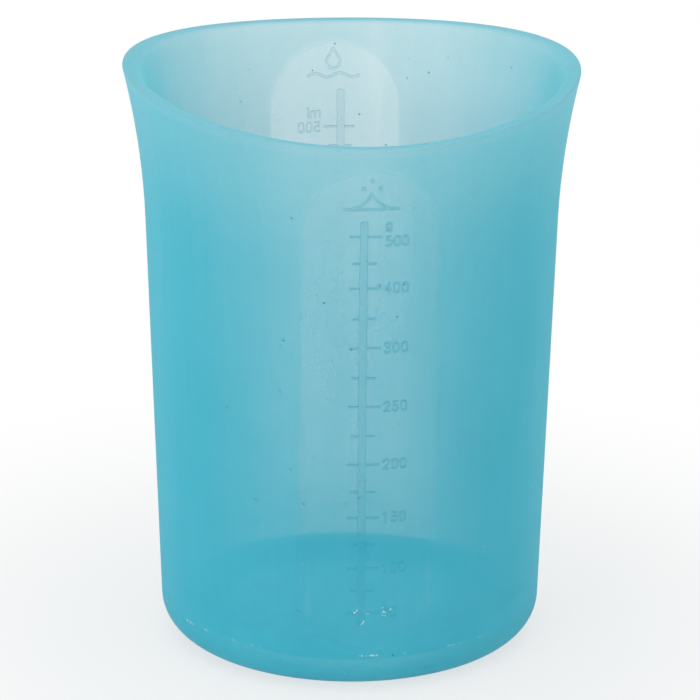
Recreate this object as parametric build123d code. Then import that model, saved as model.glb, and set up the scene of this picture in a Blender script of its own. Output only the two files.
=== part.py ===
from build123d import *
import math
import os

# A soft silicone measuring and mixing cup, moulded in one piece. Its round wall tapers down to a thick
# floor with a rounded corner, and flares out at the top into a mouth with two pouring lips. Two polished
# windows in the wall, front and back, carry raised scales: grams of powder in front, millilitres behind.
# Sizes are in millimetres. The origin is the middle of the flat face that the cup stands on, +Z is up,
# the pouring lips point along X, and the front scale faces -Y.

# Wall, outside
foot_radius = 41.85
shoulder_radius = 45.36
shoulder_height = 96.0
base_corner_radius = 8.0

# Mouth: the flare is how far a lip stands out of the wall's straight taper
lip_front_height = 127.0
lip_front_flare = 1.2
lip_side_rise = 4.1
lip_side_flare = 3.55
lip_lean = 0.6
rim_band_height = 2.6
rim_outer_rounding = 0.6
rim_inner_rounding = 1.5

# Thicknesses
wall_thickness = 3.0
lip_thickness = 3.7
floor_thickness = 5.0
floor_corner_radius = 5.0
base_seam_height = 8.0

# Windows: the top gap is below the front lip
window_width = 29.0
window_bottom_height = 10.5
window_top_gap = 5.0
window_depth = 0.3

# Scales: raised marks on the windows, placed down from the window's top
relief_height = 0.35
bar_width = 1.7
bar_offset = 1.6
bar_top_gap = 11.5
bar_tail = 2.8
dry_top_mark_gap = 15.05
liquid_top_mark_gap = 20.2
mark_line = 0.4
long_mark_left = 2.2
long_mark_right = 3.0
short_mark_left = 1.6
short_mark_right = 1.95

# Numerals and signs
numeral_height = 2.5
numeral_width = 1.5
numeral_spacing = 1.85
numeral_gap = 3.7
numeral_line = 0.36
unit_gap = 0.9
top_numeral_drop = 1.1
sign_base_gap = 9.0
sign_width = 12.0
sign_line = 0.55
powder_heap_height = 4.2
powder_grain_diameter = 0.9
drop_width = 3.6
drop_height = 5.2
wave_height = 1.5

# How far blanks run past what they make
overrun = 2.0

# Heights that follow from the sizes above
lip_side_height = lip_front_height + lip_side_rise
window_top_height = lip_front_height - window_top_gap
bar_top_height = window_top_height - bar_top_gap
dry_top_mark_height = window_top_height - dry_top_mark_gap
liquid_top_mark_height = window_top_height - liquid_top_mark_gap
sign_base_height = window_top_height - sign_base_gap
cutter_reach = foot_radius + shoulder_radius

# Each mark of the powder scale, as a share of its top mark's height: a long mark has a numeral
dry_mark_shares = {
    500: 1.0,
    450: 0.9425,
    400: 0.8892,
    350: 0.8237,
    300: 0.7602,
    275: 0.6957,
    250: 0.6330,
    225: 0.5694,
    200: 0.5068,
    175: 0.4469,
    150: 0.3899,
    125: 0.3310,
    100: 0.2777,
    75: 0.2281,
    50: 0.1786,
}
dry_numbered = [500, 400, 300, 250, 200, 150, 100, 50]
liquid_marks = range(50, 501, 25)
liquid_numbered = range(50, 501, 50)
top_number = 500

# Strokes of each numeral and sign, from its lower left, as shares of its width and height
digit_shares = {
    "0": [
        ((0, 0.27), (0.5, 0), (1, 0.27)),
        ((1, 0.27), (1, 0.73)),
        ((1, 0.73), (0.5, 1), (0, 0.73)),
        ((0, 0.73), (0, 0.27)),
    ],
    "1": [((0.15, 0.8), (0.5, 1)), ((0.5, 1), (0.5, 0))],
    "2": [((0.02, 0.76), (0.55, 1), (0.85, 0.52)), ((0.85, 0.52), (0, 0)), ((0, 0), (1, 0))],
    "3": [((0.05, 0.88), (0.97, 0.77), (0.4, 0.54)), ((0.4, 0.54), (1, 0.27), (0.02, 0.12))],
    "4": [((0.7, 0), (0.7, 1)), ((0.7, 1), (0, 0.3)), ((0, 0.3), (1, 0.3))],
    "5": [((0.95, 1), (0.12, 1)), ((0.12, 1), (0.12, 0.53)), ((0.12, 0.53), (1, 0.3), (0.02, 0.1))],
}
gram_shares = [
    ((1, 0.55), (0, 0.55), (1, 0.54)),
    ((1, 0.9), (1, 0.2)),
    ((1, 0.2), (0.5, 0), (0.05, 0.12)),
]
millilitre_shares = [
    ((0, 0), (0, 0.65)),
    ((0, 0.5), (0.2, 0.65), (0.4, 0.5)),
    ((0.4, 0.5), (0.4, 0)),
    ((0.4, 0.5), (0.6, 0.65), (0.8, 0.5)),
    ((0.8, 0.5), (0.8, 0)),
    ((1, 0), (1, 1)),
]
heap_shares = [
    ((0, 0), (1, 0)),
    ((0.1, 0), (0.37, 0.42), (0.5, 1)),
    ((0.5, 1), (0.63, 0.42), (0.9, 0)),
]
drop_shares = [
    ((0.07, 0.5), (0.5, 0), (0.93, 0.5)),
    ((0.93, 0.5), (0.5, 1)),
    ((0.5, 1), (0.07, 0.5)),
]
wave_shares = [
    ((0, 0.5), (0.125, 0), (0.25, 0.5)),
    ((0.25, 0.5), (0.375, 1), (0.5, 0.5)),
    ((0.5, 0.5), (0.625, 0), (0.75, 0.5)),
    ((0.75, 0.5), (0.875, 1), (1, 0.5)),
]


def straight_radius(height):
    """Outer radius of the wall's straight taper, carried on past the shoulder."""
    return foot_radius + (shoulder_radius - foot_radius) * height / shoulder_height


def rise(height, lip_height):
    """How far up from the shoulder to a lip a height is, as a share."""
    return max(height - shoulder_height, 0) / (lip_height - shoulder_height)


def outside(height):
    """Half the outer width and half the outer depth of the wall at a height."""
    radius = straight_radius(height)
    half_width = radius + lip_side_flare * rise(height, lip_side_height) ** 2
    half_depth = radius + lip_front_flare * rise(height, lip_front_height) ** 2
    return half_width, half_depth


def thickness(height):
    """The wall's thickness, which grows from the shoulder to the lip."""
    return wall_thickness + (lip_thickness - wall_thickness) * rise(height, lip_side_height) ** 2


def inside(height):
    """Half the inner width and half the inner depth of the wall at a height."""
    half_width, half_depth = outside(height)
    return half_width - thickness(height), half_depth - thickness(height)


def oval(half_axes, height):
    """A flat oval at a height, always drawn from the same place between a lip and a window."""
    half_width, half_depth = half_axes
    return Pos(0, 0, height) * scale(Rot(0, 0, 45) * Circle(1), (half_width, half_depth, 1))


def blank(outline, bottom, corner_radius):
    """A closed solid from bottom up past the lips, whose half axes are outline(height)."""
    taper = Pos(0, 0, bottom) * Cone(
        outline(bottom)[0],
        outline(shoulder_height)[0],
        shoulder_height - bottom,
        align=(Align.CENTER, Align.CENTER, Align.MIN),
    )
    if corner_radius:
        taper = fillet(taper.edges().sort_by(Axis.Z)[0], corner_radius)
    top = lip_side_height + lip_lean + overrun
    step = (top - shoulder_height) / 4
    mouth = loft([oval(outline(shoulder_height + i * step), shoulder_height + i * step) for i in range(5)])
    return taper + mouth


def grown(growth):
    """The wall's outside, grown outwards by a small amount, as an outline for a blank."""
    return lambda height: tuple(half + growth for half in outside(height))


def above_lip_line(drop):
    """Everything above the lip line lowered by drop. From the front, the lip line is one long arc."""
    reach = outside(lip_side_height)[0]
    arc_radius = (reach**2 + lip_side_rise**2) / (2 * lip_side_rise)
    shift = arc_radius * lip_lean / reach
    centre_height = lip_front_height - drop + math.sqrt(arc_radius**2 - shift**2)
    return Pos(shift, 0, centre_height) * Cylinder(arc_radius, 2 * cutter_reach, rotation=(90, 0, 0))


def inner_volume(height):
    """Volume that the cup holds up to a height, without the floor's rounded corner."""
    slices = 120
    step = (height - floor_thickness) / slices
    total = 0
    for i in range(slices):
        half_width, half_depth = inside(floor_thickness + (i + 0.5) * step)
        total += math.pi * half_width * half_depth * step
    return total


def liquid_height(number):
    """Height of a mark of the liquid scale, from the volume below its top mark."""
    wanted = inner_volume(liquid_top_mark_height) * number / top_number
    low = floor_thickness
    high = liquid_top_mark_height
    while high - low > liquid_top_mark_height * 1e-6:
        middle = (low + high) / 2
        if inner_volume(middle) < wanted:
            low = middle
        else:
            high = middle
    return high


# Numerals and signs, drawn as a reader sees them: first to the right, then up


def pen_strokes(stroke_shares, width, height, pen):
    """Round-ended strokes: two points make a straight one, and three an arc, as shares of the glyph."""
    glyph = None
    for stroke in stroke_shares:
        points = [(across * (width - pen), up * (height - pen)) for across, up in stroke]
        path = Line(*points) if len(points) == 2 else ThreePointArc(*points)
        piece = Pos(pen / 2, pen / 2) * SlotArc(path, pen)
        glyph = piece if glyph is None else glyph + piece
    return glyph


def numeral(number, height):
    """A number beside the scale bar, with its middle at a height."""
    glyphs = []
    for place, character in enumerate(str(number)):
        left = bar_width / 2 + numeral_gap + place * numeral_spacing
        glyph = pen_strokes(digit_shares[character], numeral_width, numeral_height, numeral_line)
        glyphs.append(Pos(left, height - numeral_height / 2) * glyph)
    return glyphs


def unit(stroke_shares, letters, bottom):
    """A unit's small letters above the top numeral."""
    glyph = pen_strokes(stroke_shares, letters * numeral_width, numeral_height, numeral_line)
    return [Pos(bar_width / 2 + numeral_gap, bottom) * glyph]


def powder_sign():
    """A heap of powder on a line, with three grains falling on it."""
    heap = pen_strokes(heap_shares, sign_width, powder_heap_height, sign_line)
    grain = Circle(powder_grain_diameter / 2)
    gap = 2 * powder_grain_diameter
    low = powder_heap_height + gap / 2
    grains = [Pos(place * gap, low + (gap if place == 0 else 0)) * grain for place in (-1, 0, 1)]
    return [Pos(-sign_width / 2, 0) * heap] + grains


def drop_sign():
    """A falling drop over a wavy line."""
    waves = pen_strokes(wave_shares, sign_width, wave_height, sign_line)
    drop = pen_strokes(drop_shares, drop_width, drop_height, sign_line)
    return [Pos(-sign_width / 2, 0) * waves, Pos(-drop_width / 2, wave_height + sign_line) * drop]


# The moulding, cut into its named parts

outer = blank(grown(0), 0, base_corner_radius)
cavity = blank(inside, floor_thickness, floor_corner_radius)
mouth_cut = above_lip_line(0)
cup = outer - cavity - mouth_cut


def below(height):
    """Everything from the table up to a height."""
    return Cylinder(cutter_reach, height, align=(Align.CENTER, Align.CENTER, Align.MIN))


rim_zone = above_lip_line(rim_band_height)
cup_base = cup & below(base_seam_height)
pouring_rim = cup & rim_zone
cup_wall = cup & below(shoulder_height) - below(base_seam_height)
flared_mouth = cup - below(shoulder_height) - rim_zone

lip_face = pouring_rim.faces().filter_by(GeomType.CYLINDER).sort_by(Axis.Z)[-1]
pouring_rim = fillet(lip_face.outer_wire().edges(), rim_outer_rounding)
lip_face = pouring_rim.faces().filter_by(GeomType.CYLINDER).sort_by(Axis.Z)[-1]
pouring_rim = fillet(lip_face.inner_wires()[0].edges(), rim_inner_rounding)

# A reader faces each window: its plane looks outwards, with the reader's right along its own X
reading_planes = {
    "front": Plane(origin=(0, 0, 0), x_dir=(1, 0, 0), z_dir=(0, -1, 0)),
    "back": Plane(origin=(0, 0, 0), x_dir=(-1, 0, 0), z_dir=(0, 1, 0)),
}
sunk = blank(grown(-window_depth), 0, 0)
relief_blank = blank(grown(relief_height - window_depth), 0, 0)


def through(side, sketch):
    """A prism of a reader's sketch, out from the cup's axis through the wall on one side."""
    return extrude(reading_planes[side] * sketch, cutter_reach)


window_length = window_top_height - window_bottom_height
window_shape = Pos(0, window_bottom_height + window_length / 2) * SlotOverall(window_length, window_width, rotation=90)
windows = {}
for side in reading_planes:
    prism = through(side, window_shape)
    windows[side] = (sunk - cavity) & prism
    cup_wall -= prism
    flared_mouth -= prism


def raised(side, sketches):
    """Reader's sketches, given relative to the scale bar's middle, raised on one side's window."""
    return (through(side, Pos(-bar_offset, 0) * (Sketch() + sketches)) & relief_blank) - sunk


def mark_pair(height, left, right):
    """One graduation: a line on each side of the bar."""
    half = bar_width / 2
    left_line = Pos(-half - left / 2, height) * Rectangle(left, mark_line)
    right_line = Pos(half + right / 2, height) * Rectangle(right, mark_line)
    return [left_line, right_line]


dry_heights = {number: share * dry_top_mark_height for number, share in dry_mark_shares.items()}
liquid_heights = {number: liquid_height(number) for number in liquid_marks}

nodes = {
    "cup_base": cup_base,
    "cup_wall": cup_wall,
    "flared_mouth": flared_mouth,
    "pouring_rim": pouring_rim,
    "front_window": windows["front"],
    "back_window": windows["back"],
}
gram_bottom = dry_top_mark_height - top_numeral_drop + numeral_height / 2 + unit_gap
millilitre_bottom = liquid_top_mark_height + numeral_height / 2 + unit_gap
for name, side, heights, numbered, unit_sign, sign_name, sign in (
    ("dry", "front", dry_heights, dry_numbered, unit(gram_shares, 1, gram_bottom), "powder_sign", powder_sign()),
    (
        "liquid",
        "back",
        liquid_heights,
        liquid_numbered,
        unit(millilitre_shares, 2, millilitre_bottom),
        "drop_sign",
        drop_sign(),
    ),
):
    long_marks = []
    short_marks = []
    numerals = []
    for number, height in heights.items():
        if number in numbered:
            long_marks += mark_pair(height, long_mark_left, long_mark_right)
            lowered = top_numeral_drop if (name, number) == ("dry", top_number) else 0
            numerals += numeral(number, height - lowered)
        else:
            short_marks += mark_pair(height, short_mark_left, short_mark_right)
    bar_bottom_height = min(heights.values()) - bar_tail
    bar_length = bar_top_height - bar_bottom_height
    bar = Pos(0, bar_bottom_height + bar_length / 2) * SlotOverall(bar_length, bar_width, rotation=90)
    nodes[name + "_scale_bar"] = raised(side, [bar])
    nodes[name + "_long_marks"] = raised(side, long_marks)
    nodes[name + "_short_marks"] = raised(side, short_marks)
    nodes[name + "_numerals"] = raised(side, numerals)
    nodes[name + "_unit_sign"] = raised(side, unit_sign)
    nodes[sign_name] = raised(side, [Pos(bar_offset, sign_base_height) * piece for piece in sign])

os.makedirs("parts", exist_ok=True)
for name, solid in nodes.items():
    export_step(solid, "parts/" + name + ".step")
print("volume below the top liquid mark, ml:", round(inner_volume(liquid_top_mark_height) / 1000, 1))
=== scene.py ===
import math

import bpy
from mathutils import Matrix, Vector


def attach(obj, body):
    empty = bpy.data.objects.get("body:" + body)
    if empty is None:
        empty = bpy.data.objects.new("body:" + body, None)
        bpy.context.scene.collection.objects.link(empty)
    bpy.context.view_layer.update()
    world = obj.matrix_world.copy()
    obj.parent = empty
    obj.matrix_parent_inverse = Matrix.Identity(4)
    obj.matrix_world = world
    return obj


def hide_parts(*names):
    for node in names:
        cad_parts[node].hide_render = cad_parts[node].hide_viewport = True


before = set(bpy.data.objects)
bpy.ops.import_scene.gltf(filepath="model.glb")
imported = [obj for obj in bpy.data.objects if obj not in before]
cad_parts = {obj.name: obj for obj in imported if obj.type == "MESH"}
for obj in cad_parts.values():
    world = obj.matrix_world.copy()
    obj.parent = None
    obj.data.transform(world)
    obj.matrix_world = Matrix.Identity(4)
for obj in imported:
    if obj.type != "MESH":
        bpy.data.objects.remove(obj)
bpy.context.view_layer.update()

# Cup shell
# The real cup is one moulding of soft translucent silicone: floor, tapered wall, flared mouth and
# the two polished windows come out of the mould together, so one seamless skin stands for them all.
foot_radius = 0.04185
shoulder_radius = 0.04536
shoulder_height = 0.096
base_corner_radius = 0.008
lip_front_height = 0.127
lip_front_flare = 0.0012
lip_side_rise = 0.0041
lip_side_flare = 0.00355
lip_lean = 0.0006
rim_band_height = 0.0026
full_rim_share = 0.3
rim_outer_rounding = 0.0006
rim_inner_rounding = 0.0015
wall_thickness = 0.003
lip_thickness = 0.0037
floor_thickness = 0.005
floor_corner_radius = 0.005
window_width = 0.029
window_bottom_height = 0.0105
window_top_height = 0.122
window_depth = 0.00022
window_edge = 0.0005
fine_row_step = 0.00045
middle_row_step = 0.0008
coarse_row_step = 0.0018
inner_row_step = 0.0022
outer_corner_steps = 12
inner_corner_steps = 10
outer_lip_steps = 5
inner_lip_steps = 8
columns = 300
gather_at_windows = 0.6
merge_distance = 0.000005
settling_rounds = 4


def taper_radius(height):
    """Outer radius of the straight taper, in metres."""
    return foot_radius + (shoulder_radius - foot_radius) * height / shoulder_height


def corner_rows(bottom, radius, steps, inner):
    """Rows of a rounded corner from a flat bottom into the taper, as (inset, wall share, height)."""
    lean = math.atan2(shoulder_radius - foot_radius, shoulder_height)
    wall = wall_thickness if inner else 0
    centre = taper_radius(bottom + radius) - wall - radius / math.cos(lean)
    rows = []
    for i in range(steps + 1):
        turn = (math.pi / 2 - lean) * i / steps
        height = bottom + radius * (1 - math.cos(turn))
        inset = taper_radius(height) - wall - centre - radius * math.sin(turn)
        rows.append((inset, 1 if inner else 0, height))
    return rows


def spaced(start, end, step):
    """Heights from start to end, both left out, about one step apart."""
    count = max(2, round(abs(end - start) / step))
    return [start + (end - start) * i / count for i in range(1, count)]


outer_corner = corner_rows(0, base_corner_radius, outer_corner_steps, False)
inner_corner = corner_rows(floor_thickness, floor_corner_radius, inner_corner_steps, True)
flat_shares = [0, 0.25, 0.5, 0.75, 0.94]
outer_flat_inset = foot_radius - outer_corner[0][0]
outer_flat = [(foot_radius - share * outer_flat_inset, 0, 0) for share in flat_shares]
inner_flat_radius = taper_radius(floor_thickness) - wall_thickness
inner_flat_inset = inner_flat_radius - inner_corner[0][0]
inner_flat = []
for share in flat_shares[::-1]:
    inner_flat.append((inner_flat_radius - share * inner_flat_inset, 1, floor_thickness))
window_round = window_width / 2
outer_stops = [
    (outer_corner[-1][2], middle_row_step),
    (window_bottom_height - 2 * window_edge, fine_row_step),
    (window_bottom_height + window_round, coarse_row_step),
    (window_top_height - window_round, fine_row_step),
    (window_top_height + 2 * window_edge, middle_row_step),
    (lip_front_height - rim_outer_rounding, 0),
]
outer_rows = []
for (start, step), (end, _) in zip(outer_stops, outer_stops[1:]):
    outer_rows += [(0, 0, height) for height in spaced(start, end, step) + [end]]
outer_lip = []
for i in range(1, outer_lip_steps + 1):
    turn = math.pi / 2 * i / outer_lip_steps
    height = lip_front_height - rim_outer_rounding * (1 - math.sin(turn))
    outer_lip.append((rim_outer_rounding * (1 - math.cos(turn)), 0, height))
inner_lip = []
for i in range(inner_lip_steps + 1):
    turn = math.pi / 2 * i / inner_lip_steps
    height = lip_front_height - rim_inner_rounding * (1 - math.cos(turn))
    inner_lip.append((-rim_inner_rounding * (1 - math.sin(turn)), 1, height))
inner_heights = spaced(inner_lip[-1][2], inner_corner[-1][2], inner_row_step)
inner_rows = [(0, 1, height) for height in inner_heights]

profile_rows = outer_flat + outer_corner + outer_rows + outer_lip
profile_rows += inner_lip + inner_rows + inner_corner[::-1] + inner_flat


def node(tree, kind, **settings):
    """A new node, with its own settings made."""
    made = tree.nodes.new(kind)
    for name, value in settings.items():
        setattr(made, name, value)
    return made


def feed(tree, socket, value):
    """Sets a socket to a number, or links it to another node's output."""
    if isinstance(value, bpy.types.NodeSocket):
        tree.links.new(value, socket)
    else:
        socket.default_value = value


def calc(tree, operation, *values):
    """The result of a Math node."""
    maths = node(tree, "ShaderNodeMath", operation=operation)
    for socket, value in zip(maths.inputs, values):
        feed(tree, socket, value)
    return maths.outputs[0]


def soft_step(tree, value, start, end):
    """0 before start and 1 after end, smooth in between. Start may be above end."""
    step = node(tree, "ShaderNodeMapRange", interpolation_type="SMOOTHSTEP")
    feed(tree, step.inputs["Value"], value)
    feed(tree, step.inputs["From Min"], start)
    feed(tree, step.inputs["From Max"], end)
    return step.outputs["Result"]


shell_rule = bpy.data.node_groups.new("cup_shell_rule", "GeometryNodeTree")
shell_rule.interface.new_socket(name="Profile", in_out="INPUT", socket_type="NodeSocketGeometry")
shell_sizes = {
    "Foot radius": foot_radius,
    "Shoulder radius": shoulder_radius,
    "Shoulder height": shoulder_height,
    "Front lip height": lip_front_height,
    "Front lip flare": lip_front_flare,
    "Side lip rise": lip_side_rise,
    "Side lip flare": lip_side_flare,
    "Lip lean": lip_lean,
    "Rim band height": rim_band_height,
    "Wall thickness": wall_thickness,
    "Lip thickness": lip_thickness,
    "Window width": window_width,
    "Window bottom height": window_bottom_height,
    "Window top height": window_top_height,
    "Window depth": window_depth,
    "Window edge": window_edge,
    "Gather at the windows": gather_at_windows,
}
for name in shell_sizes:
    shell_rule.interface.new_socket(name=name, in_out="INPUT", socket_type="NodeSocketFloat")
shell_rule.interface.new_socket(name="Columns", in_out="INPUT", socket_type="NodeSocketInt")
shell_rule.interface.new_socket(name="Silicone", in_out="INPUT", socket_type="NodeSocketMaterial")
shell_rule.interface.new_socket(name="Shell", in_out="OUTPUT", socket_type="NodeSocketGeometry")
given = node(shell_rule, "NodeGroupInput").outputs
rows = node(shell_rule, "GeometryNodeAttributeDomainSize", component="MESH")
feed(shell_rule, rows.inputs[0], given["Profile"])
last_row = calc(shell_rule, "SUBTRACT", rows.outputs["Point Count"], 1)
grid = node(shell_rule, "GeometryNodeMeshGrid")
feed(shell_rule, grid.inputs["Size X"], 2 * math.pi)
feed(shell_rule, grid.inputs["Size Y"], last_row)
feed(shell_rule, grid.inputs["Vertices X"], calc(shell_rule, "ADD", given["Columns"], 1))
feed(shell_rule, grid.inputs["Vertices Y"], rows.outputs["Point Count"])
place = node(shell_rule, "ShaderNodeSeparateXYZ")
feed(shell_rule, place.inputs[0], node(shell_rule, "GeometryNodeInputPosition").outputs[0])
row_place = calc(shell_rule, "MULTIPLY_ADD", last_row, 0.5, place.outputs["Y"])
row_number = calc(shell_rule, "ROUND", row_place)
profile = node(shell_rule, "GeometryNodeSampleIndex", data_type="FLOAT_VECTOR", domain="POINT")
feed(shell_rule, profile.inputs["Geometry"], given["Profile"])
feed(shell_rule, profile.inputs["Value"], node(shell_rule, "GeometryNodeInputPosition").outputs[0])
feed(shell_rule, profile.inputs["Index"], row_number)
row = node(shell_rule, "ShaderNodeSeparateXYZ")
feed(shell_rule, row.inputs[0], profile.outputs[0])
inset, wall_share, front_height = row.outputs["X"], row.outputs["Y"], row.outputs["Z"]

# Columns gather at the windows, a quarter turn from the pouring lips
swing = calc(shell_rule, "SINE", calc(shell_rule, "MULTIPLY", place.outputs["X"], 2))
swing_reach = calc(shell_rule, "MULTIPLY", given["Gather at the windows"], 0.5)
angle = calc(shell_rule, "MULTIPLY_ADD", swing, swing_reach, place.outputs["X"])
across = calc(shell_rule, "COSINE", angle)
along = calc(shell_rule, "SINE", angle)


def squared(value):
    return calc(shell_rule, "MULTIPLY", value, value)


def rise(height, lip_height):
    """How far up from the shoulder to a lip a height is, squared."""
    up = calc(shell_rule, "MAXIMUM", calc(shell_rule, "SUBTRACT", height, given["Shoulder height"]), 0)
    span = calc(shell_rule, "SUBTRACT", lip_height, given["Shoulder height"])
    return squared(calc(shell_rule, "DIVIDE", up, span))


side_lip_height = calc(shell_rule, "ADD", given["Front lip height"], given["Side lip rise"])
widening = calc(
    shell_rule,
    "DIVIDE",
    calc(shell_rule, "SUBTRACT", given["Shoulder radius"], given["Foot radius"]),
    given["Shoulder height"],
)
thickening = calc(shell_rule, "SUBTRACT", given["Lip thickness"], given["Wall thickness"])


def straight_radius(height):
    return calc(shell_rule, "MULTIPLY_ADD", widening, height, given["Foot radius"])


def half_axis(height, flare, lip_height):
    """Half the width or depth of the outside at a height."""
    return calc(shell_rule, "MULTIPLY_ADD", flare, rise(height, lip_height), straight_radius(height))


def total_inset(height):
    """How far in from the outside a row lies at a height."""
    thickness = calc(
        shell_rule, "MULTIPLY_ADD", thickening, rise(height, side_lip_height), given["Wall thickness"]
    )
    return calc(shell_rule, "MULTIPLY_ADD", thickness, wall_share, inset)


# From the front, the lip line is one long arc that leans to the left
lip_reach = half_axis(side_lip_height, given["Side lip flare"], side_lip_height)
arc_radius = calc(
    shell_rule,
    "DIVIDE",
    calc(shell_rule, "ADD", squared(lip_reach), squared(given["Side lip rise"])),
    calc(shell_rule, "MULTIPLY", given["Side lip rise"], 2),
)
lean_moment = calc(shell_rule, "MULTIPLY", arc_radius, given["Lip lean"])
arc_shift = calc(shell_rule, "DIVIDE", lean_moment, lip_reach)


def arc_drop(distance):
    """How far the arc's circle reaches down from its centre, at a distance to one side of it."""
    drop_squared = calc(shell_rule, "SUBTRACT", squared(arc_radius), squared(distance))
    return calc(shell_rule, "SQRT", drop_squared)


band_bottom = calc(shell_rule, "SUBTRACT", given["Front lip height"], given["Rim band height"])
lip_share = node(shell_rule, "ShaderNodeMapRange")
feed(shell_rule, lip_share.inputs["Value"], front_height)
feed(shell_rule, lip_share.inputs["From Min"], given["Shoulder height"])
feed(shell_rule, lip_share.inputs["From Max"], band_bottom)
height = front_height
for settling in range(settling_rounds):
    outer_half_width = half_axis(height, given["Side lip flare"], side_lip_height)
    half_width = calc(shell_rule, "SUBTRACT", outer_half_width, total_inset(height))
    side = calc(shell_rule, "SUBTRACT", calc(shell_rule, "MULTIPLY", half_width, across), arc_shift)
    lift = calc(shell_rule, "SUBTRACT", arc_drop(arc_shift), arc_drop(side))
    height = calc(shell_rule, "MULTIPLY_ADD", lift, lip_share.outputs["Result"], front_height)

# The windows are sunk with soft edges, in the shape of a slot
window_half = calc(shell_rule, "MULTIPLY", given["Window width"], 0.5)
window_x = calc(shell_rule, "MULTIPLY", half_width, across)
top_centre = calc(shell_rule, "SUBTRACT", given["Window top height"], window_half)
bottom_centre = calc(shell_rule, "ADD", given["Window bottom height"], window_half)
above = calc(shell_rule, "SUBTRACT", height, top_centre)
under = calc(shell_rule, "SUBTRACT", bottom_centre, height)
window_z = calc(shell_rule, "MAXIMUM", calc(shell_rule, "MAXIMUM", above, under), 0)
distance_squared = calc(shell_rule, "ADD", squared(window_x), squared(window_z))
window_distance = calc(shell_rule, "SQRT", distance_squared)
window_mask = soft_step(
    shell_rule,
    window_distance,
    calc(shell_rule, "ADD", window_half, given["Window edge"]),
    calc(shell_rule, "SUBTRACT", window_half, given["Window edge"]),
)
sinking = calc(
    shell_rule,
    "MULTIPLY",
    calc(shell_rule, "MULTIPLY", window_mask, given["Window depth"]),
    calc(shell_rule, "LESS_THAN", wall_share, 0.5),
)
inward = calc(shell_rule, "ADD", total_inset(height), sinking)
width_here = half_axis(height, given["Side lip flare"], side_lip_height)
depth_here = half_axis(height, given["Front lip flare"], given["Front lip height"])
point = node(shell_rule, "ShaderNodeCombineXYZ")
skin_half_width = calc(shell_rule, "SUBTRACT", width_here, inward)
skin_half_depth = calc(shell_rule, "SUBTRACT", depth_here, inward)
feed(shell_rule, point.inputs["X"], calc(shell_rule, "MULTIPLY", skin_half_width, across))
feed(shell_rule, point.inputs["Y"], calc(shell_rule, "MULTIPLY", skin_half_depth, along))
feed(shell_rule, point.inputs["Z"], height)


def stored(geometry, name, value):
    """The geometry with a value kept on each of its points for the material."""
    keep = node(shell_rule, "GeometryNodeStoreNamedAttribute", data_type="FLOAT", domain="POINT")
    feed(shell_rule, keep.inputs["Geometry"], geometry)
    keep.inputs["Name"].default_value = name
    feed(shell_rule, keep.inputs["Value"], value)
    return keep.outputs[0]


marked = stored(grid.outputs["Mesh"], "window_distance", window_distance)
marked = stored(marked, "inner_skin", wall_share)
# The band along the top of the lip is kept for the material, which paints a highlight on it
rim_start = calc(shell_rule, "SUBTRACT", given["Front lip height"], given["Rim band height"])
rim_full = calc(
    shell_rule, "MULTIPLY_ADD", given["Rim band height"], -full_rim_share, given["Front lip height"]
)
marked = stored(marked, "rim_highlight_band", soft_step(shell_rule, front_height, rim_start, rim_full))
shaped = node(shell_rule, "GeometryNodeSetPosition")
feed(shell_rule, shaped.inputs["Geometry"], marked)
feed(shell_rule, shaped.inputs["Position"], point.outputs[0])
closed = node(shell_rule, "GeometryNodeMergeByDistance")
feed(shell_rule, closed.inputs["Geometry"], shaped.outputs[0])
feed(shell_rule, closed.inputs["Distance"], merge_distance)
smooth = node(shell_rule, "GeometryNodeSetShadeSmooth")
feed(shell_rule, smooth.inputs[0], closed.outputs[0])
whole = node(shell_rule, "GeometryNodeRealizeInstances")
feed(shell_rule, whole.inputs[0], smooth.outputs[0])
dressed = node(shell_rule, "GeometryNodeSetMaterial")
feed(shell_rule, dressed.inputs["Geometry"], whole.outputs[0])
feed(shell_rule, dressed.inputs["Material"], given["Silicone"])
feed(shell_rule, node(shell_rule, "NodeGroupOutput").inputs["Shell"], dressed.outputs[0])


def new_group(name, inputs, outputs):
    """An empty shader group: inputs as {name: (kind, default)}, outputs as {name: kind}."""
    tree = bpy.data.node_groups.new(name, "ShaderNodeTree")
    for label, (kind, default) in inputs.items():
        socket = tree.interface.new_socket(name=label, in_out="INPUT", socket_type="NodeSocket" + kind)
        if default is not None:
            socket.default_value = default
    for label, kind in outputs.items():
        tree.interface.new_socket(name=label, in_out="OUTPUT", socket_type="NodeSocket" + kind)
    return tree, node(tree, "NodeGroupInput").outputs, node(tree, "NodeGroupOutput").inputs


def use_group(tree, group, **values):
    """A group placed in a material, with its own values. Underscores stand for spaces."""
    placed = node(tree, "ShaderNodeGroup", node_tree=group)
    for name, value in values.items():
        feed(tree, placed.inputs[name.replace("_", " ")], value)
    return placed.outputs


def noise(tree, where, stretch, size, detail=2.0, roughness=0.5):
    """Noise of a feature size in metres, at object coordinates stretched by three factors."""
    mapping = node(tree, "ShaderNodeMapping")
    feed(tree, mapping.inputs["Vector"], where)
    mapping.inputs["Scale"].default_value = stretch
    texture = node(tree, "ShaderNodeTexNoise")
    feed(tree, texture.inputs["Vector"], mapping.outputs[0])
    texture.inputs["Scale"].default_value = 1 / size
    texture.inputs["Detail"].default_value = detail
    texture.inputs["Roughness"].default_value = roughness
    return texture.outputs["Fac"]


def blend(tree, share, first, second):
    """Two colours mixed by a share."""
    mix = node(tree, "ShaderNodeMix", data_type="RGBA")
    feed(tree, mix.inputs[0], share)
    feed(tree, mix.inputs[6], first)
    feed(tree, mix.inputs[7], second)
    return mix.outputs[2]


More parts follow.
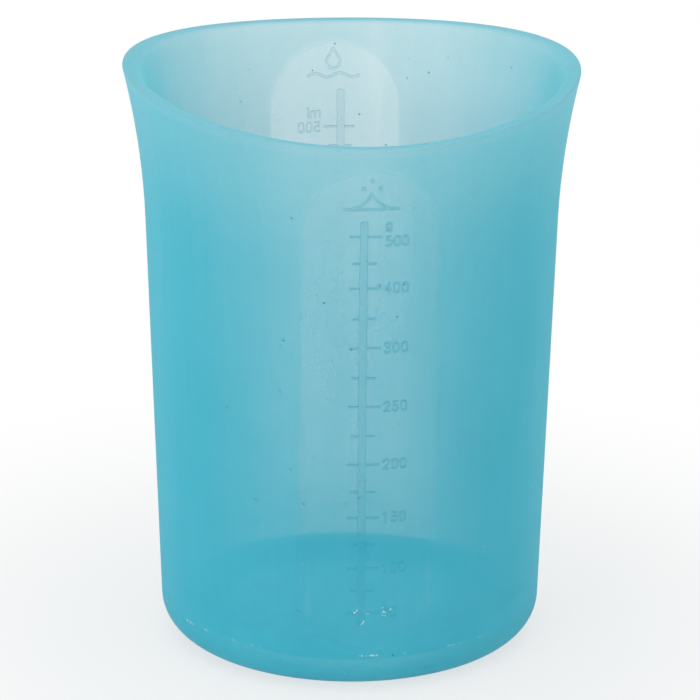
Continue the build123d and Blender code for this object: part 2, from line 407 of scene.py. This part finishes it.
# Clearness falls as the light's way through the silicone gets longer
least_head_on = 0.12
slant_weight = 1.8
sight, sight_in, sight_out = new_group(
    "sight_through_silicone",
    {"Clearness": ("Float", 0.6), "Facing": ("Float", 0.0)},
    {"Share": "Float"},
)
head_on = calc(sight, "SUBTRACT", 1, sight_in["Facing"])
head_on = calc(sight, "MAXIMUM", head_on, least_head_on)
slant = calc(sight, "SUBTRACT", calc(sight, "DIVIDE", 1, head_on), 1)
way = calc(sight, "MULTIPLY_ADD", slant, slant_weight, 1)
feed(sight, sight_out["Share"], calc(sight, "POWER", sight_in["Clearness"], way))

# Clouds, upright flow lines and a satin grain that stay in the silicone from the moulding
evenly = (1, 1, 1)
cloud_stretch = (1, 1, 0.7)
flow_stretch = (1, 1, 0.05)
cloud_size = 0.022
fine_cloud_size = 0.0022
fine_cloud_share = 0.35
flow_line_size = 0.006
satin_size = 0.00035
clouds, clouds_in, clouds_out = new_group(
    "moulding_clouds",
    {"Vector": ("Vector", None)},
    {"Clouds": "Float", "Flow lines": "Float", "Satin": "Float"},
)
broad = noise(clouds, clouds_in["Vector"], cloud_stretch, cloud_size, detail=3, roughness=0.6)
fine = noise(clouds, clouds_in["Vector"], evenly, fine_cloud_size, detail=3, roughness=0.65)
fine_gap = calc(clouds, "SUBTRACT", fine, broad)
feed(clouds, clouds_out["Clouds"], calc(clouds, "MULTIPLY_ADD", fine_gap, fine_cloud_share, broad))
flow = noise(clouds, clouds_in["Vector"], flow_stretch, flow_line_size, detail=2, roughness=0.55)
feed(clouds, clouds_out["Flow lines"], flow)
grains = noise(clouds, clouds_in["Vector"], evenly, satin_size, detail=2, roughness=0.6)
feed(clouds, clouds_out["Satin"], grains)

# Dust that clings to silicone: dark specks, and pale lint
spots_per_metre = 200
speck_radius = 0.0003
speck_share = 0.8
speck_core_share = 0.5
dust, dust_in, dust_out = new_group(
    "clinging_dust",
    {
        "Vector": ("Vector", None),
        "Speck radius": ("Float", speck_radius),
        "Share of spots": ("Float", speck_share),
    },
    {"Specks": "Float"},
)
spots = node(dust, "ShaderNodeTexVoronoi")
feed(dust, spots.inputs["Vector"], dust_in["Vector"])
spots.inputs["Scale"].default_value = spots_per_metre
spot_colour = node(dust, "ShaderNodeSeparateColor")
feed(dust, spot_colour.inputs[0], spots.outputs["Color"])
speck_reach = calc(dust, "MULTIPLY", dust_in["Speck radius"], spots_per_metre)
speck_core = calc(dust, "MULTIPLY", speck_reach, speck_core_share)
speck = soft_step(dust, spots.outputs["Distance"], speck_reach, speck_core)
chosen = calc(dust, "LESS_THAN", spot_colour.outputs[0], dust_in["Share of spots"])
feed(dust, dust_out["Specks"], calc(dust, "MULTIPLY", speck, chosen))


def start_material(name):
    """A material with no nodes yet, and its tree."""
    made = bpy.data.materials.new(name)
    made.use_nodes = True
    made.node_tree.nodes.clear()
    return made, made.node_tree


def stored_on_skin(tree, name):
    """A value that the shell's rule kept on its points."""
    return node(tree, "ShaderNodeAttribute", attribute_name=name).outputs["Fac"]


lint_shift = (0.31, 0.17, 0.23)
lint_radius = 0.00024
lint_share = 0.3
satin_silicone, satin = start_material("satin_silicone")
where = node(satin, "ShaderNodeTexCoord").outputs["Object"]
where_parts = node(satin, "ShaderNodeSeparateXYZ")
feed(satin, where_parts.inputs[0], where)
side, out, up = where_parts.outputs
cloud = use_group(satin, clouds, Vector=where)
specks = use_group(satin, dust, Vector=where)["Specks"]
shifted = node(satin, "ShaderNodeVectorMath", operation="ADD")
feed(satin, shifted.inputs[0], where)
shifted.inputs[1].default_value = lint_shift
lint = use_group(
    satin, dust, Vector=shifted.outputs[0], Speck_radius=lint_radius, Share_of_spots=lint_share
)["Specks"]

# A satin wall blurs what is behind it, so the far wall's window shows through it with a hazy edge
skins_of_near_wall = 1.5
polish_edge = 0.0003
window_haze = 0.008
window_border_width = 0.0028
light_path = node(satin, "ShaderNodeLightPath")
skins_crossed = light_path.outputs["Transparent Depth"]
behind_wall = calc(satin, "GREATER_THAN", skins_crossed, skins_of_near_wall)
window_distance = stored_on_skin(satin, "window_distance")
sharp_window = soft_step(satin, window_distance, window_round + polish_edge, window_round - polish_edge)
hazy_window = soft_step(satin, window_distance, window_round + window_haze, window_round - window_haze)
border_start = window_round - window_border_width
border_fade = soft_step(satin, window_distance, border_start, window_round)
border = calc(satin, "MULTIPLY", border_fade, sharp_window)
haze_gap = calc(satin, "SUBTRACT", hazy_window, sharp_window)
window = calc(satin, "MULTIPLY_ADD", haze_gap, behind_wall, sharp_window)

# Scuffs on the line where the base corner starts, which rubs on what stands beside the cup
scuff_line_height = 0.0084
scuff_wander_range = 0.0008
scuff_wander_stretch = (1, 1, 0)
scuff_wander_size = 0.012
scuff_band_fade = (0.0003, 0.00006)
scuff_stretch = (1, 1, 0.2)
scuff_run_size = 0.0026
scuff_run_cut = (0.54, 0.62)
scuff_group_size = 0.02
scuff_group_cut = (0.42, 0.55)
scuff_wander = noise(satin, where, scuff_wander_stretch, scuff_wander_size)
scuff_height = calc(satin, "MULTIPLY_ADD", scuff_wander, scuff_wander_range, scuff_line_height)
scuff_distance = calc(satin, "ABSOLUTE", calc(satin, "SUBTRACT", up, scuff_height))
scuff_band = soft_step(satin, scuff_distance, *scuff_band_fade)
scuff_noise = noise(satin, where, scuff_stretch, scuff_run_size, detail=3, roughness=0.7)
scuff_runs = soft_step(satin, scuff_noise, *scuff_run_cut)
scuff_group_noise = noise(satin, where, scuff_stretch, scuff_group_size, detail=1)
scuff_groups = soft_step(satin, scuff_group_noise, *scuff_group_cut)
scuffs = calc(satin, "MULTIPLY", calc(satin, "MULTIPLY", scuff_band, scuff_runs), scuff_groups)

# Painted sheen: pale upright streaks painted low down along both sides of a window, as a soft highlight
sheen_streak_height_fade = (0.034, 0.024)
sheen_streak_side_fade = (0.009, 0.0125)
sheen_streak_stretch = (1, 1, 0.12)
sheen_streak_size = 0.0012
sheen_streak_cut = (0.45, 0.62)
low_down = soft_step(satin, up, *sheen_streak_height_fade)
sheen_streak_noise = noise(satin, where, sheen_streak_stretch, sheen_streak_size, detail=2, roughness=0.6)
sheen_streak_runs = soft_step(satin, sheen_streak_noise, *sheen_streak_cut)
upright = soft_step(satin, calc(satin, "ABSOLUTE", side), *sheen_streak_side_fade)
upright_border = calc(satin, "MULTIPLY", border, upright)
painted_sheen_streaks = calc(satin, "MULTIPLY", calc(satin, "MULTIPLY", upright_border, low_down), sheen_streak_runs)

# Outside and inside of the lower wall are told apart by their distance from the cup's axis
outer_skin_fade = (0.0395, 0.0406)
from_axis = node(satin, "ShaderNodeVectorMath", operation="LENGTH")
flat_place = node(satin, "ShaderNodeCombineXYZ")
feed(satin, flat_place.inputs["X"], side)
feed(satin, flat_place.inputs["Y"], out)
feed(satin, from_axis.inputs[0], flat_place.outputs[0])
outer_skin = soft_step(satin, from_axis.outputs["Value"], *outer_skin_fade)

# Colour: deep teal with milky clouds. The upper wall and lip are painted paler for light glowing
# through from the open top, the rim band gets a painted highlight, and the floor inside is painted
# paler for light glowing through it
deep_teal = (0.046, 0.505, 0.645, 1)
milky_teal = (0.070, 0.545, 0.685, 1)
painted_glow_lip_teal = (0.165, 0.53, 0.655, 1)
rim_highlight_teal = (0.33, 0.60, 0.70, 1)
painted_glow_floor_teal = (0.13, 0.70, 0.84, 1)
worn_and_sheen_white = (0.78, 0.90, 0.92, 1)
speck_colour = (0.005, 0.04, 0.06, 1)
mottle_cut = (0.3, 0.7)
lip_glow_fade = (0.095, 0.128)
outer_lip_glow_cover = 0.85
inner_lip_glow_cover_loss = 0.4
rim_highlight_cover = 0.5
below_wall_fade = (0.0095, 0.0055)
above_foot_fade = (0.0040, 0.0048)
painted_sheen_cover = 0.14
speck_cover = 0.9
lint_cover = 0.5
mottle = soft_step(satin, cloud["Clouds"], *mottle_cut)
colour = blend(satin, mottle, deep_teal, milky_teal)
inner_skin = stored_on_skin(satin, "inner_skin")
# Painted light: the upper wall and the lip are painted paler, more outside than inside, as if lit
# through from the bright open top
lip_glow_cover = calc(satin, "MULTIPLY_ADD", inner_skin, -inner_lip_glow_cover_loss, outer_lip_glow_cover)
painted_lip_glow = calc(satin, "MULTIPLY", soft_step(satin, up, *lip_glow_fade), lip_glow_cover)
colour = blend(satin, painted_lip_glow, colour, painted_glow_lip_teal)
# Painted highlight: the rim band is painted paler, standing in for the gloss of light on the lip's top
rim_highlight_band = stored_on_skin(satin, "rim_highlight_band")
colour = blend(satin, calc(satin, "MULTIPLY", rim_highlight_band, rim_highlight_cover), colour, rim_highlight_teal)
below_wall = soft_step(satin, up, *below_wall_fade)
above_foot = soft_step(satin, up, *above_foot_fade)
inside_floor = calc(satin, "MULTIPLY", below_wall, above_foot)
inside_floor = calc(satin, "MULTIPLY", inside_floor, calc(satin, "SUBTRACT", 1, outer_skin))
# Painted light: the floor inside is painted paler, standing in for light that glows into the shaded
# floor through the silicone
colour = blend(satin, inside_floor, colour, painted_glow_floor_teal)
# Painted sheen: the streaks are painted pale into the colour as a soft highlight; the same pale colour
# serves the real lint, scuffs and wear below
colour = blend(satin, calc(satin, "MULTIPLY", painted_sheen_streaks, painted_sheen_cover), colour, worn_and_sheen_white)
colour = blend(satin, calc(satin, "MULTIPLY", specks, speck_cover), colour, speck_colour)
colour = blend(satin, calc(satin, "MULTIPLY", lint, lint_cover), colour, worn_and_sheen_white)
colour = blend(satin, scuffs, colour, worn_and_sheen_white)

# Clearness: least in the thick base, most at the lip, and more in the polished windows
clearness_top_height = 0.132
clearness_shares = [
    (0.0, 0.48),
    (0.04, 0.52),
    (0.08, 0.56),
    (0.17, 0.565),
    (0.5, 0.59),
    (0.8, 0.62),
    (1.0, 0.665),
]
window_clearness = 0.075
window_foot_fade = (0.006, 0.03)
mottle_clearness = 0.035
flow_line_clearness = 0.10
ramp = node(satin, "ShaderNodeValToRGB")
span = node(satin, "ShaderNodeMapRange")
feed(satin, span.inputs["Value"], up)
span.inputs["From Max"].default_value = clearness_top_height
feed(satin, ramp.inputs[0], span.outputs[0])
for stop, _ in clearness_shares[1:-1]:
    ramp.color_ramp.elements.new(stop)
for element, (stop, value) in zip(ramp.color_ramp.elements, clearness_shares):
    element.position = stop
    element.color = (value, value, value, 1)
polished = calc(satin, "MULTIPLY", window, soft_step(satin, up, *window_foot_fade))
window_gain = calc(satin, "MULTIPLY", polished, window_clearness)
clearness = calc(satin, "ADD", window_gain, ramp.outputs[0])
mottle_swing = calc(satin, "SUBTRACT", mottle, 0.5)
clearness = calc(satin, "MULTIPLY_ADD", mottle_swing, mottle_clearness, clearness)
flow_swing = calc(satin, "SUBTRACT", cloud["Flow lines"], 0.5)
clearness = calc(satin, "MULTIPLY_ADD", flow_swing, flow_line_clearness, clearness)
specks_and_scuffs = calc(satin, "MAXIMUM", specks, scuffs)
clearness = calc(satin, "MULTIPLY", clearness, calc(satin, "SUBTRACT", 1, specks_and_scuffs))

# The solid base corner shows no floor through it
corner_side_fade = (0.016, 0.007)
below_floor_fade = (0.0048, 0.004)
foot_face_fade = (0.0001, 0.0006)
corner_clearness_loss = 0.8
least_clearness = 0.001
most_clearness = 0.95
facing_blend = 0.5
corner_side = calc(satin, "MULTIPLY", outer_skin, soft_step(satin, up, *corner_side_fade))
corner_side = calc(satin, "MULTIPLY", corner_side, calc(satin, "SUBTRACT", 1, behind_wall))
below_floor = soft_step(satin, up, *below_floor_fade)
corner_under = calc(satin, "MULTIPLY", below_floor, soft_step(satin, up, *foot_face_fade))
corner = calc(satin, "MAXIMUM", corner_side, corner_under)
kept_share = calc(satin, "MULTIPLY_ADD", corner, -corner_clearness_loss, 1)
clearness = calc(satin, "MULTIPLY", clearness, kept_share)
clearness = calc(satin, "MINIMUM", clearness, most_clearness)
clearness = calc(satin, "MAXIMUM", clearness, least_clearness)
facing = node(satin, "ShaderNodeLayerWeight")
facing.inputs["Blend"].default_value = facing_blend
share = use_group(satin, sight, Clearness=clearness, Facing=facing.outputs["Facing"])["Share"]

# Surface: satin outside, smoother in the windows, and lit through from the other side
skin_specular = 0.3
satin_roughness = 0.46
window_roughness_loss = 0.2
grain_roughness = 0.12
scuff_roughness = 0.8
grain_strength = 0.25
grain_depth = 0.0002
window_grain_loss = 0.7
glow_colour = (0.45, 0.95, 1.0, 1)
glow_share = 0.35
upper_glow_gain = 0.25
upper_inside_fade = (0.1, 0.12)
tint = (0.99, 1.0, 0.995, 1)
skin = node(satin, "ShaderNodeBsdfPrincipled")
skin.inputs["Specular IOR Level"].default_value = skin_specular
feed(satin, skin.inputs["Base Color"], colour)
base_roughness = calc(satin, "MULTIPLY_ADD", sharp_window, -window_roughness_loss, satin_roughness)
roughness = calc(satin, "MULTIPLY_ADD", cloud["Satin"], grain_roughness, base_roughness)
roughness = calc(satin, "MAXIMUM", roughness, calc(satin, "MULTIPLY", scuffs, scuff_roughness))
feed(satin, skin.inputs["Roughness"], roughness)
grain = node(satin, "ShaderNodeBump")
grain.inputs["Strength"].default_value = grain_strength
grain.inputs["Distance"].default_value = grain_depth
grain_here = calc(satin, "MULTIPLY_ADD", sharp_window, -window_grain_loss, 1)
feed(satin, grain.inputs["Height"], calc(satin, "MULTIPLY", cloud["Satin"], grain_here))
feed(satin, skin.inputs["Normal"], grain.outputs[0])
through = node(satin, "ShaderNodeBsdfTranslucent")
through.inputs["Color"].default_value = glow_colour
feed(satin, through.inputs["Normal"], grain.outputs[0])
lit = node(satin, "ShaderNodeMixShader")
upper_inside = calc(satin, "MULTIPLY", inner_skin, soft_step(satin, up, *upper_inside_fade))
glow = calc(satin, "MULTIPLY_ADD", upper_inside, upper_glow_gain, glow_share)
feed(satin, lit.inputs[0], calc(satin, "MULTIPLY_ADD", inside_floor, -glow_share, glow))
feed(satin, lit.inputs[1], skin.outputs[0])
feed(satin, lit.inputs[2], through.outputs[0])
see = node(satin, "ShaderNodeBsdfTransparent")
see.inputs["Color"].default_value = tint
whole_skin = node(satin, "ShaderNodeMixShader")
feed(satin, whole_skin.inputs[0], share)
feed(satin, whole_skin.inputs[1], lit.outputs[0])
feed(satin, whole_skin.inputs[2], see.outputs[0])
feed(satin, node(satin, "ShaderNodeOutputMaterial").inputs["Surface"], whole_skin.outputs[0])

profile_mesh = bpy.data.meshes.new("cup_profile")
profile_mesh.from_pydata(profile_rows, [(i, i + 1) for i in range(len(profile_rows) - 1)], [])
drawn = bpy.data.objects.new("cup_profile", profile_mesh)
bpy.context.scene.collection.objects.link(drawn)
rule = drawn.modifiers.new("rule", "NODES")
rule.node_group = shell_rule
for socket in shell_rule.interface.items_tree:
    if socket.name in shell_sizes:
        rule[socket.identifier] = shell_sizes[socket.name]
    elif socket.name == "Columns":
        rule[socket.identifier] = columns
    elif socket.name == "Silicone":
        rule[socket.identifier] = satin_silicone
bpy.context.view_layer.update()
evaluated = drawn.evaluated_get(bpy.context.evaluated_depsgraph_get())
shell_mesh = bpy.data.meshes.new_from_object(evaluated)
bpy.data.objects.remove(drawn)
shell_mesh.name = "cup_shell"
cup_shell = bpy.data.objects.new("cup_shell", shell_mesh)
bpy.context.scene.collection.objects.link(cup_shell)
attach(cup_shell, "root")
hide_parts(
    "cup_base", "cup_wall", "flared_mouth", "pouring_rim", "front_window", "back_window"
)

# Raised scales and signs
# Both scales and their signs stand up from the windows in the same silicone, cut as thin grooves in
# the outer half of the mould. They are too thin to hold much colour, so mostly their edges show.
raised_teal = (0.048, 0.49, 0.625, 1)
edge_teal = (0.035, 0.36, 0.47, 1)
edge_rounding = 0.00022
edge_samples = 8
edge_cut = (0.99, 0.86)
thick_wall_fade = (0.022, 0.056)
least_edge_share = 0.08
raised_clearness = 0.92
mark_edge_loss = 0.50
numeral_edge_loss = 0.38
skins_before_far_scale = 2.5
blurred_gain = 0.065
wear_height_fade = (0.0225, 0.0195)
wear_size = 0.0016
wear_cut = (0.57, 0.63)
wear_clearness_loss = 0.5
raised_roughness = 0.3
raised_grain_roughness = 0.15


def raised_material(name, edge_loss):
    """The silicone of the relief, with edges that lose a share of its clearness."""
    made, raised = start_material(name)
    where = node(raised, "ShaderNodeTexCoord").outputs["Object"]
    where_parts = node(raised, "ShaderNodeSeparateXYZ")
    feed(raised, where_parts.inputs[0], where)
    up = where_parts.outputs["Z"]
    cloud = use_group(raised, clouds, Vector=where)
    specks = use_group(raised, dust, Vector=where)["Specks"]

    # The rounded edges bend light away, so they show as thin dark lines round a paler top
    rounded = node(raised, "ShaderNodeBevel", samples=edge_samples)
    rounded.inputs["Radius"].default_value = edge_rounding
    flat_normal = node(raised, "ShaderNodeNewGeometry").outputs["Normal"]
    likeness = node(raised, "ShaderNodeVectorMath", operation="DOT_PRODUCT")
    feed(raised, likeness.inputs[0], rounded.outputs[0])
    feed(raised, likeness.inputs[1], flat_normal)
    edge = soft_step(raised, likeness.outputs["Value"], *edge_cut)
    thin_wall = soft_step(raised, up, *thick_wall_fade)
    edge_share = calc(raised, "MULTIPLY_ADD", thin_wall, 1 - least_edge_share, least_edge_share)
    edge = calc(raised, "MULTIPLY", edge, edge_share)

    # Seen through another satin wall the scale is blurred almost away
    skins_crossed = node(raised, "ShaderNodeLightPath").outputs["Transparent Depth"]
    near = calc(raised, "LESS_THAN", skins_crossed, skins_before_far_scale)

    # Where it rubs, low down, the relief is worn white
    wear_height = soft_step(raised, up, *wear_height_fade)
    wear_runs = soft_step(raised, noise(raised, where, evenly, wear_size, detail=1), *wear_cut)
    wear = calc(raised, "MULTIPLY", calc(raised, "MULTIPLY", wear_height, wear_runs), near)

    colour = blend(raised, edge, raised_teal, edge_teal)
    colour = blend(raised, calc(raised, "MULTIPLY", specks, speck_cover), colour, speck_colour)
    colour = blend(raised, wear, colour, worn_and_sheen_white)
    edge_dimming = calc(raised, "MULTIPLY", calc(raised, "MULTIPLY", edge, near), -edge_loss)
    edged = calc(raised, "ADD", edge_dimming, raised_clearness)
    clearness = calc(raised, "MULTIPLY_ADD", calc(raised, "SUBTRACT", 1, near), blurred_gain, edged)
    clearness = calc(raised, "MULTIPLY_ADD", wear, -wear_clearness_loss, clearness)
    facing = node(raised, "ShaderNodeLayerWeight")
    facing.inputs["Blend"].default_value = facing_blend
    share = use_group(raised, sight, Clearness=clearness, Facing=facing.outputs["Facing"])["Share"]
    skin = node(raised, "ShaderNodeBsdfPrincipled")
    skin.inputs["Specular IOR Level"].default_value = skin_specular
    feed(raised, skin.inputs["Base Color"], colour)
    roughness = calc(raised, "MULTIPLY_ADD", cloud["Satin"], raised_grain_roughness, raised_roughness)
    feed(raised, skin.inputs["Roughness"], roughness)
    see = node(raised, "ShaderNodeBsdfTransparent")
    whole_skin = node(raised, "ShaderNodeMixShader")
    feed(raised, whole_skin.inputs[0], share)
    feed(raised, whole_skin.inputs[1], skin.outputs[0])
    feed(raised, whole_skin.inputs[2], see.outputs[0])
    feed(raised, node(raised, "ShaderNodeOutputMaterial").inputs["Surface"], whole_skin.outputs[0])
    return made


bar_silicone = raised_material("raised_silicone", mark_edge_loss)
numeral_silicone = raised_material("raised_silicone_numerals", numeral_edge_loss)
for name, cad_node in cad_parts.items():
    if not cad_node.hide_render:
        is_scale_line = name.endswith(("bar", "marks"))
        cad_node.data.materials.clear()
        cad_node.data.materials.append(bar_silicone if is_scale_line else numeral_silicone)

# Floor
# A sheet of white paper that the cup stands on. The camera and glossy reflections see it brighten to
# white away from the cup, and it keeps the cup's own soft shadow.
paper_reach = 4.0
paper_colour = (0.86, 0.86, 0.86, 1)
paper_glow_share = 0.65
glow_start = 0.06
glow_end = 0.16
floor_corners = [(-1, -1), (1, -1), (1, 1), (-1, 1)]
floor_mesh = bpy.data.meshes.new("floor")
floor_points = [(x * paper_reach, y * paper_reach, 0) for x, y in floor_corners]
floor_mesh.from_pydata(floor_points, [], [(0, 1, 2, 3)])
floor = bpy.data.objects.new("floor", floor_mesh)
bpy.context.scene.collection.objects.link(floor)
paper = bpy.data.materials.new("white_paper")
paper.use_nodes = True
sheet = paper.node_tree
sheet.nodes.clear()
matt = node(sheet, "ShaderNodeBsdfDiffuse")
matt.inputs["Color"].default_value = paper_colour
bright = node(sheet, "ShaderNodeEmission")
spot = node(sheet, "ShaderNodeTexCoord")
distance = node(sheet, "ShaderNodeVectorMath", operation="LENGTH")
feed(sheet, distance.inputs[0], spot.outputs["Object"])
far = soft_step(sheet, distance.outputs["Value"], glow_start, glow_end)
paleness = calc(sheet, "MULTIPLY_ADD", far, 1 - paper_glow_share, paper_glow_share)
light_path = node(sheet, "ShaderNodeLightPath")
seen = calc(sheet, "MAXIMUM", light_path.outputs["Is Camera Ray"], light_path.outputs["Is Glossy Ray"])
mixed = node(sheet, "ShaderNodeMixShader")
feed(sheet, mixed.inputs[0], calc(sheet, "MULTIPLY", paleness, seen))
feed(sheet, mixed.inputs[1], matt.outputs[0])
feed(sheet, mixed.inputs[2], bright.outputs[0])
feed(sheet, node(sheet, "ShaderNodeOutputMaterial").inputs["Surface"], mixed.outputs[0])
floor_mesh.materials.append(paper)

# Light
# An even pale room does most of the work, as in a light tent. Soft boxes above, at the left and at the
# right add a little shape to it.
room_strength = 0.95
lamp_aim = (0, 0, 0.06)
world = bpy.data.worlds.new("studio")
world.use_nodes = True
bpy.context.scene.world = world
room = world.node_tree
room.nodes.clear()
background = node(room, "ShaderNodeBackground")
path = node(room, "ShaderNodeLightPath")
seen = calc(room, "MAXIMUM", path.outputs["Is Camera Ray"], path.outputs["Is Glossy Ray"])
seen = calc(room, "MAXIMUM", seen, path.outputs["Is Transmission Ray"])
strength = calc(room, "MULTIPLY_ADD", seen, 1 - room_strength, room_strength)
feed(room, background.inputs["Strength"], strength)
feed(room, node(room, "ShaderNodeOutputWorld").inputs["Surface"], background.outputs[0])


def softbox(name, place, size, watts):
    """A square soft light that looks at the middle of the cup."""
    lamp = bpy.data.lights.new(name, "AREA")
    lamp.size = size
    lamp.energy = watts
    box = bpy.data.objects.new(name, lamp)
    box.location = place
    box.rotation_euler = (Vector(lamp_aim) - Vector(place)).to_track_quat("-Z", "Y").to_euler()
    bpy.context.scene.collection.objects.link(box)


softbox("top_softbox", place=(-0.1, 0.1, 1.0), size=0.8, watts=1.5)
softbox("left_softbox", place=(-0.75, -0.85, 0.25), size=0.6, watts=3.1)
softbox("right_softbox", place=(0.9, -0.5, 0.5), size=0.7, watts=0.3)

# Camera
# It looks slightly down at the gram scale from a little to the left, through a long lens, and leans a
# third of a degree as the photograph does.
yaw = 0.0930
tilt = math.radians(20.213)
lean = math.radians(0.326)
distance = 1.4022
aim = Vector((-0.0002, 0, 0.06454))
sensor_width = 36
lens_length = 325.34
nearest_seen = 0.05
farthest_seen = 20
back = Vector((-math.sin(yaw) * math.cos(tilt), -math.cos(yaw) * math.cos(tilt), math.sin(tilt)))
camera_data = bpy.data.cameras.new("camera")
camera_data.sensor_width = sensor_width
camera_data.lens = lens_length
camera_data.clip_start = nearest_seen
camera_data.clip_end = farthest_seen
camera = bpy.data.objects.new("camera", camera_data)
turn = (-back).to_track_quat("-Z", "Y").to_matrix().to_4x4() @ Matrix.Rotation(lean, 4, "Z")
camera.matrix_world = Matrix.Translation(aim + back * distance) @ turn
bpy.context.scene.collection.objects.link(camera)
bpy.context.scene.camera = camera
bpy.context.scene.view_settings.view_transform = "Standard"
